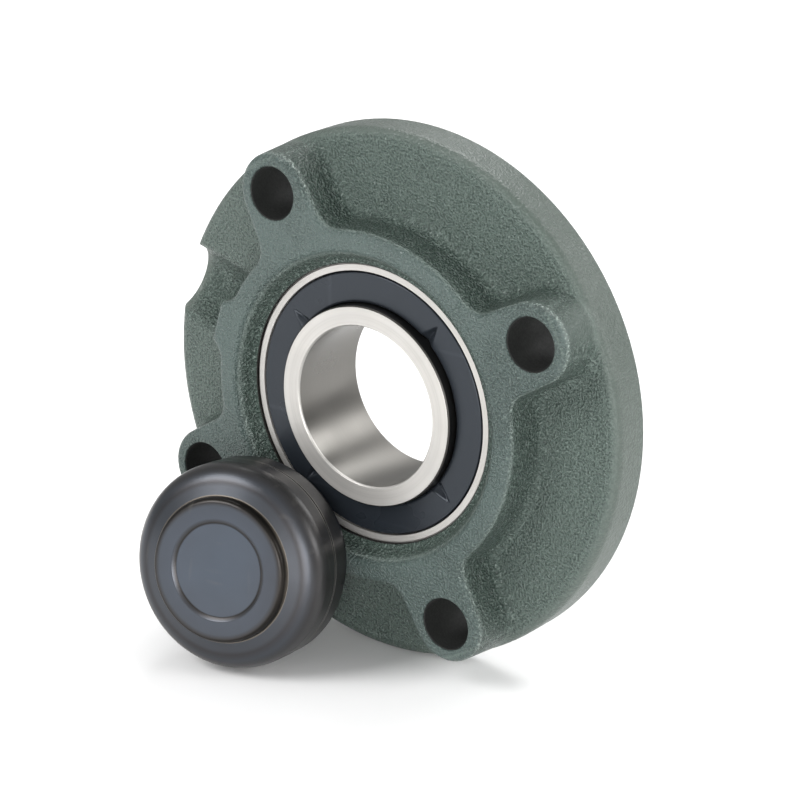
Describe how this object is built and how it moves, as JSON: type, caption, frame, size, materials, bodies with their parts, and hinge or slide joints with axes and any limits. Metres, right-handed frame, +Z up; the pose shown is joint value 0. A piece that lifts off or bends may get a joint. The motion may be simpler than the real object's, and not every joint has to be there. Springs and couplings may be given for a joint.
{
  "type": "round flanged bearing unit",
  "caption": "Round flanged cast bearing housing with bolt bosses, a rear pilot and a sealed self-aligning insert with a taper bore, its closed end cover taken off and leaning in front.",
  "frame": {"origin": "on the bore axis, in the plane of the flange's mounting face, which is the centre of the bolt circle", "axes": "-Y out of the front of the housing along the bore axis, +Y out of the back through the pilot, +Z up; the housing stands on its rim, turned about its axis as in the picture"},
  "size_m": [0.165, 0.0796, 0.165],
  "materials": {
    "painted_casting": "grey-green enamel over as-cast iron, with a pebbled grain",
    "ring_steel": "ground bearing steel",
    "bearing_steel": "polished",
    "cage_steel": "pressed",
    "rivet_steel": "headed",
    "seal_rubber": "moulded",
    "flinger_steel": "dark blue-grey satin",
    "cover_steel": "dark satin with fine scratches",
    "plated_steel": "yellow-passivated zinc"
  },
  "bodies": {
    "housing": {"housing": "painted_casting", "grease_fitting": "plated_steel", "end_cover": "cover_steel"},
    "pin": {"locating_pin": "bearing_steel"},
    "outer_ring": {"outer_ring": "ring_steel", "seal_front": "seal_rubber", "seal_rear": "seal_rubber"},
    "inner_ring": {"inner_ring": "ring_steel", "flinger_front": "flinger_steel", "flinger_rear": "flinger_steel"},
    "cage": {"cage_front": "cage_steel", "cage_rear": "cage_steel", "cage_rivets": "rivet_steel"},
    "ball_01": {"ball_01": "bearing_steel"},
    "ball_02": {"ball_02": "bearing_steel"},
    "ball_03": {"ball_03": "bearing_steel"},
    "ball_04": {"ball_04": "bearing_steel"},
    "ball_05": {"ball_05": "bearing_steel"},
    "ball_06": {"ball_06": "bearing_steel"},
    "ball_07": {"ball_07": "bearing_steel"},
    "ball_08": {"ball_08": "bearing_steel"},
    "ball_09": {"ball_09": "bearing_steel"},
    "ball_10": {"ball_10": "bearing_steel"}
  },
  "joints": [
    {"name": "tilt_across_pin", "type": "hinge", "parent": "housing", "child": "pin", "pos_m": [0, -0.01, 0], "axis": [0.295, 0, 0.9555], "range_deg": [-2, 2]},
    {"name": "tilt_about_pin", "type": "hinge", "parent": "pin", "child": "outer_ring", "pos_m": [0, -0.01, 0], "axis": [0.9555, 0, -0.295], "range_deg": [-2, 2]},
    {"name": "shaft_spin", "type": "hinge", "parent": "outer_ring", "child": "inner_ring", "pos_m": [0, -0.01, 0], "axis": [0, 1, 0], "continuous": true},
    {"name": "cage_spin", "type": "hinge", "parent": "outer_ring", "child": "cage", "pos_m": [0, -0.01, 0], "axis": [0, 1, 0], "continuous": true},
    {"name": "ball_01_spin", "type": "hinge", "parent": "cage", "child": "ball_01", "pos_m": [0.03344, -0.01, -0.01033], "axis": [0, 1, 0], "continuous": true},
    {"name": "ball_02_spin", "type": "hinge", "parent": "cage", "child": "ball_02", "pos_m": [0.03313, -0.01, 0.0113], "axis": [0, 1, 0], "continuous": true},
    {"name": "ball_03_spin", "type": "hinge", "parent": "cage", "child": "ball_03", "pos_m": [0.02015, -0.01, 0.02861], "axis": [0, 1, 0], "continuous": true},
    {"name": "ball_04_spin", "type": "hinge", "parent": "cage", "child": "ball_04", "pos_m": [-0.00051, -0.01, 0.035], "axis": [0, 1, 0], "continuous": true},
    {"name": "ball_05_spin", "type": "hinge", "parent": "cage", "child": "ball_05", "pos_m": [-0.02099, -0.01, 0.02801], "axis": [0, 1, 0], "continuous": true},
    {"name": "ball_06_spin", "type": "hinge", "parent": "cage", "child": "ball_06", "pos_m": [-0.03344, -0.01, 0.01033], "axis": [0, 1, 0], "continuous": true},
    {"name": "ball_07_spin", "type": "hinge", "parent": "cage", "child": "ball_07", "pos_m": [-0.03313, -0.01, -0.0113], "axis": [0, 1, 0], "continuous": true},
    {"name": "ball_08_spin", "type": "hinge", "parent": "cage", "child": "ball_08", "pos_m": [-0.02015, -0.01, -0.02861], "axis": [0, 1, 0], "continuous": true},
    {"name": "ball_09_spin", "type": "hinge", "parent": "cage", "child": "ball_09", "pos_m": [0.00051, -0.01, -0.035], "axis": [0, 1, 0], "continuous": true},
    {"name": "ball_10_spin", "type": "hinge", "parent": "cage", "child": "ball_10", "pos_m": [0.02099, -0.01, -0.02801], "axis": [0, 1, 0], "continuous": true}
  ],
  "couplings": [
    {"joint": "cage_spin", "follows": "shaft_spin", "ratio": 0.40929},
    {"joint": "ball_01_spin", "follows": "shaft_spin", "ratio": -2.6652},
    {"joint": "ball_02_spin", "follows": "shaft_spin", "ratio": -2.6652},
    {"joint": "ball_03_spin", "follows": "shaft_spin", "ratio": -2.6652},
    {"joint": "ball_04_spin", "follows": "shaft_spin", "ratio": -2.6652},
    {"joint": "ball_05_spin", "follows": "shaft_spin", "ratio": -2.6652},
    {"joint": "ball_06_spin", "follows": "shaft_spin", "ratio": -2.6652},
    {"joint": "ball_07_spin", "follows": "shaft_spin", "ratio": -2.6652},
    {"joint": "ball_08_spin", "follows": "shaft_spin", "ratio": -2.6652},
    {"joint": "ball_09_spin", "follows": "shaft_spin", "ratio": -2.6652},
    {"joint": "ball_10_spin", "follows": "shaft_spin", "ratio": -2.6652}
  ]
}
